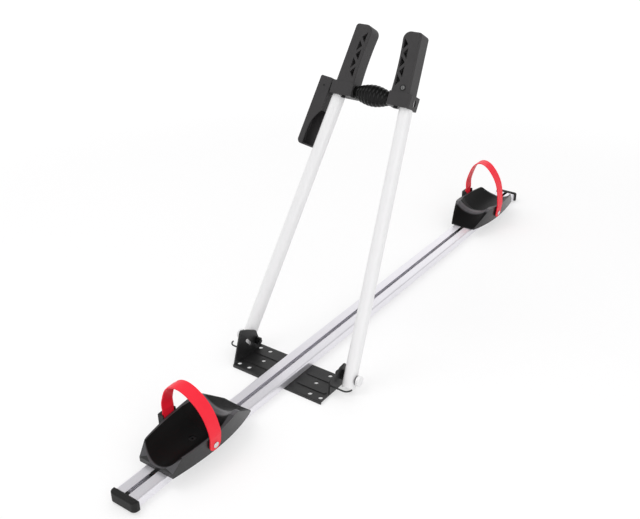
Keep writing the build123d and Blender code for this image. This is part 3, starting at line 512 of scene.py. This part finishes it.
def placed_across(maker, shape, centre):
    """Lays a shape that was made along X across the arms, with its middle at a place."""
    turned = Matrix((ACROSS, DEPTH, ACROSS.cross(DEPTH))).transposed().to_euler()
    return maker.add("GeometryNodeTransform", {}, shape, Translation=centre, Rotation=turned)


# How many faces go round the bellows, how full its folds are (1 is a plain sine, less is fuller), how deep
# they are at the collars as a share of their depth in the middle, and how far past each end of the bellows
# its inner wall starts, as a share of the whole way out and back
BELLOWS_ROUND = 96
FOLD_FULLNESS, END_FOLDS = 0.55, 0.4
PAST_END = 0.001


def bellows_plan(maker, _, Folds, Half_length, Collar, End_radius, Middle_radius, Fold_depth, Wall, Steps):
    """A closed tube of moulded folds on a barrel, between two plain collars, with a wall all through."""
    grid = maker.add("GeometryNodeMeshGrid", {}, Size_X=1.0, Size_Y=1.0, Vertices_X=BELLOWS_ROUND + 1,
                     Vertices_Y=Steps * Folds * 2 + 1)
    x, y = maker.split(maker.add("GeometryNodeInputPosition"))[:2]
    turn = (x + 0.5) * (2 * math.pi)
    travel = y + 0.5
    out_and_back = 1.0 - abs(1.0 - travel * 2.0)
    inner = (travel > 0.5 + PAST_END) * (travel < 1.0 - PAST_END)
    collar_share = Collar / (Half_length * 2.0)
    share = ((out_and_back - collar_share) / (1.0 - collar_share * 2.0)).clamped()
    ribbed = (share > 0.0) * (share < 1.0)
    barrel = (share * math.pi).sine()
    bulge = abs((share * Folds * math.pi).sine()) ** FOLD_FULLNESS
    crest = (Middle_radius - End_radius) * barrel
    valley = Fold_depth * (barrel * (1 - END_FOLDS) + END_FOLDS) * (1.0 - bulge)
    radius = End_radius + ribbed * (crest - valley) - inner * Wall
    place = maker.joined(Half_length * (out_and_back * 2.0 - 1.0), radius * turn.cosine(), radius * turn.sine())
    tube = maker.add("GeometryNodeSetPosition", {}, grid, Position=place)
    closed = maker.add("GeometryNodeMergeByDistance", {}, tube, Distance=SAME_POINT)
    return placed_across(maker, closed, arm_point(0, ROD_ALONG))


bellows = grown(
    "bellows",
    {"Folds": 9, "Half_length": BLOCK_INNER, "Collar": 3 * MM, "End_radius": 12 * MM, "Middle_radius": 20 * MM,
     "Fold_depth": 2.2 * MM, "Wall": 1.4 * MM, "Steps": 14},
    bellows_plan, "left_arm", "bellows_plastic", "clamp_bellows",
)
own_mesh(bellows)

# How many steps a turn of the spring has, and how many sides its wire
COIL_STEPS, WIRE_SIDES = 24, 8


def spring_plan(maker, _, Turns, Length, Coil_radius, Wire):
    """A round wire wound at an even pitch, round the clamp rod."""
    coil = maker.add("GeometryNodeCurveSpiral", {}, Resolution=COIL_STEPS, Rotations=Turns,
                     Start_Radius=Coil_radius, End_Radius=Coil_radius, Height=Length)
    wire = maker.add("GeometryNodeCurvePrimitiveCircle", {}, Resolution=WIRE_SIDES, Radius=Wire * 0.5)
    wound = maker.add("GeometryNodeCurveToMesh", {}, coil, wire, Fill_Caps=True)
    centred = maker.add("GeometryNodeTransform", {}, wound, Translation=maker.joined(0, 0, Length * -0.5))
    laid = maker.add("GeometryNodeTransform", {}, centred, Rotation=(0, math.pi / 2, 0))
    return placed_across(maker, laid, arm_point(0, ROD_ALONG))


spring = grown(
    "spring", {"Turns": 8.0, "Length": 70 * MM, "Coil_radius": 7.5 * MM, "Wire": 1.6 * MM}, spring_plan,
    "left_arm", "rod_steel", "clamp_spring",
)
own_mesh(spring)

# Straps

# A strap's middle line, as places across and up in millimetres: its rivet, the tray's rim above the rivet,
# the rim on the buckle's side, and its end in the buckle; and for each strap its rivet's and its buckle's
# place along the rail, and its arch
STRAP_FOOT, STRAP_RIM = (-48.4, 28.0), (-51.0, 52.0)
STRAP_LEFT_RIM, STRAP_TAIL = (51.6, 62.0), (51.6, 44.0)
STRAPS = {
    "near_strap": (-258.0, -258.0, ((-47, 76), (-36, 98), (-14, 118), (14, 127), (38, 115), (49, 90))),
    "far_strap": (771.0, 807.0, ((-50, 84), (-44, 112), (-25, 138), (5, 148), (34, 132), (48.5, 98))),
}
LINE_STEPS = 12

# A strap's broken edge, how its foot is rounded, and what tells the foot's two short edges: how near they
# are to the lowest point, how long they are at the least, and how far they may lean along the rail
STRAP_EDGE, FOOT_RADIUS, FOOT_STEPS = 0.6 * MM, 10.5 * MM, 9
FOOT_NEAR, FOOT_EDGE, FOOT_LEAN = 1 * MM, 1 * MM, 0.1 * MM

# The ratchet teeth; how much narrower a tooth is at its tip, and the bend in degrees that stays sharp on
# it; how much of the strap has teeth, and from how far outside the strap its surface is looked for
TEETH = {"Pitch": 2.4 * MM, "Width": 17 * MM, "Root": 1.7 * MM, "Height": 1.1 * MM, "Sink": 0.5 * MM}
TIP_NARROWING, TOOTH_SHARP = 0.6, 20
TOOTHED, PROBE = 58 * MM, 8 * MM


def within(share):
    """A share, kept between 0 and 1."""
    return min(max(share, 0), 1)


def curve_between(before, here, there, after, share):
    """The place on a smooth curve between the two middle ones of four guides."""
    return (
        0.5 * (2 * b + (c - a) * share + (2 * a - 5 * b + 4 * c - d) * share * share
               + (3 * b - a - 3 * c + d) * share ** 3)
        for a, b, c, d in zip(before, here, there, after)
    )


def strap_line(rivet_x, buckle_x, arch):
    """The strap's middle line from its rivet to its buckle, smooth through the places the CAD gives it."""
    guides = [STRAP_FOOT, STRAP_RIM, *arch, STRAP_LEFT_RIM, STRAP_TAIL]
    rim_gap = STRAP_LEFT_RIM[0] - STRAP_RIM[0]
    line = [Vector((rivet_x, *STRAP_FOOT))]
    for four in zip(guides, guides[1:], guides[2:], guides[3:]):
        for step in range(LINE_STEPS):
            across, height = curve_between(*four, step / LINE_STEPS)
            share = within((across - STRAP_RIM[0]) / rim_gap)
            sideways = (buckle_x - rivet_x) * share * share * (3 - 2 * share)
            line.append(Vector((rivet_x + sideways, across, height)))
    line += [Vector((buckle_x, *STRAP_LEFT_RIM)), Vector((buckle_x, *STRAP_TAIL))]
    return [place * MM for place in line]


def mark_along(mesh, line):
    """Gives each point of a strap its distance along the strap's middle line."""
    lengths = [0.0]
    for here, there in zip(line, line[1:]):
        lengths.append(lengths[-1] + (there - here).length)
    mark = mesh.attributes.new("along", "FLOAT", "POINT")
    flat = [Vector((0, place.y, place.z)) for place in line]
    for point, kept in zip(mesh.vertices, mark.data):
        spot = Vector((0, point.co.y, point.co.z))
        best = (math.inf, 0.0)
        for here, there, run in zip(flat, flat[1:], lengths):
            way = there - here
            share = within((spot - here).dot(way) / way.length_squared)
            best = min(best, ((here + way * share - spot).length, run + way.length * share))
        kept.value = best[1]


def rounded_foot(solid):
    """Rounds the strap's end below its rivet, by its two short edges there."""
    lowest = min(point.co.z for point in solid.verts if point.co.y < 0)
    corners = [
        edge for edge in solid.edges
        if all(point.co.y < 0 and point.co.z < lowest + FOOT_NEAR for point in edge.verts)
        and abs((edge.verts[0].co - edge.verts[1].co).x) < FOOT_LEAN and edge.calc_length() > FOOT_EDGE
    ]
    bmesh.ops.bevel(solid, geom=corners, offset=FOOT_RADIUS, segments=FOOT_STEPS, profile=0.5, affect="EDGES")


def teeth_plan(maker, path, Pitch, Width, Root, Height, Sink):
    """Ratchet teeth across a strap's outer face, one each pitch of the line they follow."""
    line = maker.add("GeometryNodeMeshToCurve", {}, path)
    stations = maker.add("GeometryNodeResampleCurve", {"mode": "LENGTH"}, line, Length=Pitch)
    outward = maker.add("GeometryNodeInputNamedAttribute", {"data_type": "FLOAT_VECTOR"}, "outward")
    turned = maker.add("FunctionNodeAlignRotationToVector", {"axis": "Z", "pivot_axis": "X"}, Vector=outward)
    block = maker.add("GeometryNodeMeshCube", {}, maker.joined(Width, Root, Height))
    x, y, z = maker.split(maker.add("GeometryNodeInputPosition"))
    narrowed = y * (1.0 - (z > 0.0) * TIP_NARROWING)
    shaped = maker.joined(x, narrowed, z + Height * 0.5 - Sink)
    tooth = maker.add("GeometryNodeSetPosition", {}, block, Position=shaped)
    return maker.add("GeometryNodeInstanceOnPoints", {}, stations, Instance=tooth, Rotation=turned)


def toothed_path(name, strap, line):
    """The strap's outer face from its buckle upwards, as a line that knows which way is out."""
    corners, faces = [point.co for point in strap.vertices], [face.vertices for face in strap.polygons]
    surface = BVHTree.FromPolygons(corners, faces)
    points, ways, travelled = [], [], 0.0
    for here, there in zip(line[-2::-1], line[-3::-1]):
        way = there - here
        out = Vector((0, way.z, -way.y)).normalized()
        found = surface.ray_cast(here + out * PROBE, -out)[0]
        if found:
            points.append(found)
            ways.append(out)
        travelled += way.length
        if travelled > TOOTHED:
            break
    mesh = bpy.data.meshes.new(name)
    mesh.from_pydata([tuple(point) for point in points], [(i, i + 1) for i in range(len(points) - 1)], [])
    kept = mesh.attributes.new("outward", "FLOAT_VECTOR", "POINT")
    for place, way in zip(kept.data, ways):
        place.vector = way
    return mesh


for name, (rivet_x, buckle_x, arch) in STRAPS.items():
    line = strap_line(rivet_x, buckle_x, arch)
    strap = softened(name, STRAP_EDGE, first=rounded_foot).data
    mark_along(strap, line)
    path = toothed_path(name + "_path", strap, line)
    grown(name + "_teeth", TEETH, teeth_plan, body_of_node(name), "strap_plastic", base=path, sharp=TOOTH_SHARP)

# Trays

# What tells a tray's side walls, its end walls and its rim: how far their faces turn outward, endwise or
# up, and how far out or how high they are
SIDE_SLOPE, END_SLOPE, RIM_SLOPE = 0.25, 0.6, 0.9
END_FROM, RIM_HEIGHT, RIM_FROM = 95 * MM, 45 * MM, 37 * MM

# Each tray's middle along the rail in metres, and which way its ramp faces
TRAYS = {"near_wheel_tray": (-0.244, 1), "far_wheel_tray": (0.781, -1)}

# How wide the broken edge of a tray and of each other softened part is, in millimetres
TRAY_EDGE = 0.9
PART_EDGES = {
    "rail": 0.5, "base_bracket": 0.45, "left_clamp_block": 1.2, "right_clamp_block": 1.2, "clamp_lever": 0.8,
    "near_buckle": 0.7, "far_buckle": 0.7, "near_buckle_lever": 0.6, "far_buckle_lever": 0.6,
}


def mark_tray(mesh, middle_x, facing):
    """Marks a tray's outward faces and its rim, and each point's place along and across it."""
    outside, rim = (mesh.attributes.new(name, "FLOAT", "FACE") for name in ("outside", "rim"))
    for face, out, edge in zip(mesh.polygons, outside.data, rim.data):
        slope, place = face.normal, face.center
        side_wall = slope.y * math.copysign(1, place.y) > SIDE_SLOPE
        end_wall = abs(slope.x) > END_SLOPE and abs(place.x - middle_x) > END_FROM
        on_rim = slope.z > RIM_SLOPE and place.z > RIM_HEIGHT and abs(place.y) > RIM_FROM
        out.value, edge.value = float(side_wall or end_wall), float(on_rim)
    lengthwise, across = (mesh.attributes.new(name, "FLOAT", "POINT") for name in ("lengthwise", "across"))
    for point, along, aside in zip(mesh.vertices, lengthwise.data, across.data):
        along.value, aside.value = (point.co.x - middle_x) * facing, point.co.y


for name, (middle_x, facing) in TRAYS.items():
    mark_tray(softened(name, TRAY_EDGE * MM, flat=TRAY_FLAT_ANGLE).data, middle_x, facing)

for part, edge in PART_EDGES.items():
    softened(part, edge * MM)

# Studio

# How bright the light tent is at its sides and overhead, and how bright gloss sees it low and high, each
# with the heights in the tent between which it changes
TENT_LIGHT, TENT_HEIGHTS = (0.46, 0.84), (0.05, 0.60)
TENT_GLOSS, GLOSS_HEIGHTS = (1.0, 0.35), (0.1, 0.85)
TENT_TINT, WHITE = (1.0, 0.995, 1.0, 1), (1, 1, 1, 1)

# How much of the floor is lit paper to the camera near the object, where it keeps the shadow, and farther
# out, the distances between which that changes, and how bright the lit paper is; half the floor's width
FLOOR_LIT, FLOOR_DISTANCES = (0.5, 1.0), (1.1, 2.4)
FLOOR_GLOW, FLOOR_HALF = 1.08, 9

# Each lamp's name, place, width in metres and watts, and the place that all of them face
LAMPS = (
    ("key", (-0.6, 1.1, 3.0), 1.8, 19), ("fill", (-1.3, -2.2, 1.5), 2.0, 17), ("back", (2.9, 1.4, 1.6), 1.6, 4),
)
LAMPS_FACE = Vector((0.2, 0, 0.15))


def light_tent(world):
    """A light tent: white to the camera, brightest overhead, and to gloss brightest at its sides."""
    world.use_nodes = True
    tent = NodeTree(world.node_tree)
    height = tent.split(Signal(tent, tent.tree.nodes.new("ShaderNodeTexCoord").outputs["Generated"]))[2]
    lit = tent.add("ShaderNodeBackground", {}, TENT_TINT, tent.eased(height, *TENT_HEIGHTS, *TENT_LIGHT))
    gloss = tent.add("ShaderNodeBackground", {}, WHITE, tent.eased(height, *GLOSS_HEIGHTS, *TENT_GLOSS))
    white = tent.add("ShaderNodeBackground", {}, WHITE)
    to_camera, glossy, through = tent.rays("Camera", "Glossy", "Transmission")
    seen = tent.shader_mix((glossy + through).clamped(), lit, gloss)
    tent.give(tent.tree.nodes["World Output"].inputs["Surface"], tent.shader_mix(to_camera, seen, white))


def paper_floor():
    """A plain pale floor that keeps the object's shadow and fades to white around it."""
    floor = bpy.data.meshes.new("floor")
    corners = [(x * FLOOR_HALF, y * FLOOR_HALF, 0) for x, y in ((-1, -1), (1, -1), (1, 1), (-1, 1))]
    floor.from_pydata(corners, [], [(0, 1, 2, 3)])
    floor_object = linked("floor", floor)
    paper = Finish("paper_floor", Base_Color=shade(0.90), Roughness=0.9, Specular_IOR_Level=0.0)
    to_camera, glossy = paper.rays("Camera", "Glossy")
    away = paper.add("ShaderNodeVectorMath", {"operation": "LENGTH"}, paper.place, output="Value")
    share = (to_camera + glossy).clamped() * paper.eased(away, *FLOOR_DISTANCES, *FLOOR_LIT)
    glow = paper.add("ShaderNodeEmission", {}, Strength=FLOOR_GLOW)
    paper.give(
        paper.tree.nodes["Material Output"].inputs["Surface"],
        paper.shader_mix(share, Signal(paper, paper.shader.outputs[0]), glow),
    )
    floor.materials.append(paper.material)


def studio():
    """The light tent, the floor and the lamps."""
    scene = bpy.context.scene
    scene.view_settings.view_transform = "Standard"
    scene.world = bpy.data.worlds.new("studio")
    light_tent(scene.world)
    paper_floor()
    for name, place, width, power in LAMPS:
        lamp = bpy.data.lights.new(name, "AREA")
        lamp.size, lamp.energy = width, power
        stand = linked(name, lamp)
        stand.location = place
        stand.rotation_euler = (LAMPS_FACE - Vector(place)).to_track_quat("-Z", "Y").to_euler()


studio()
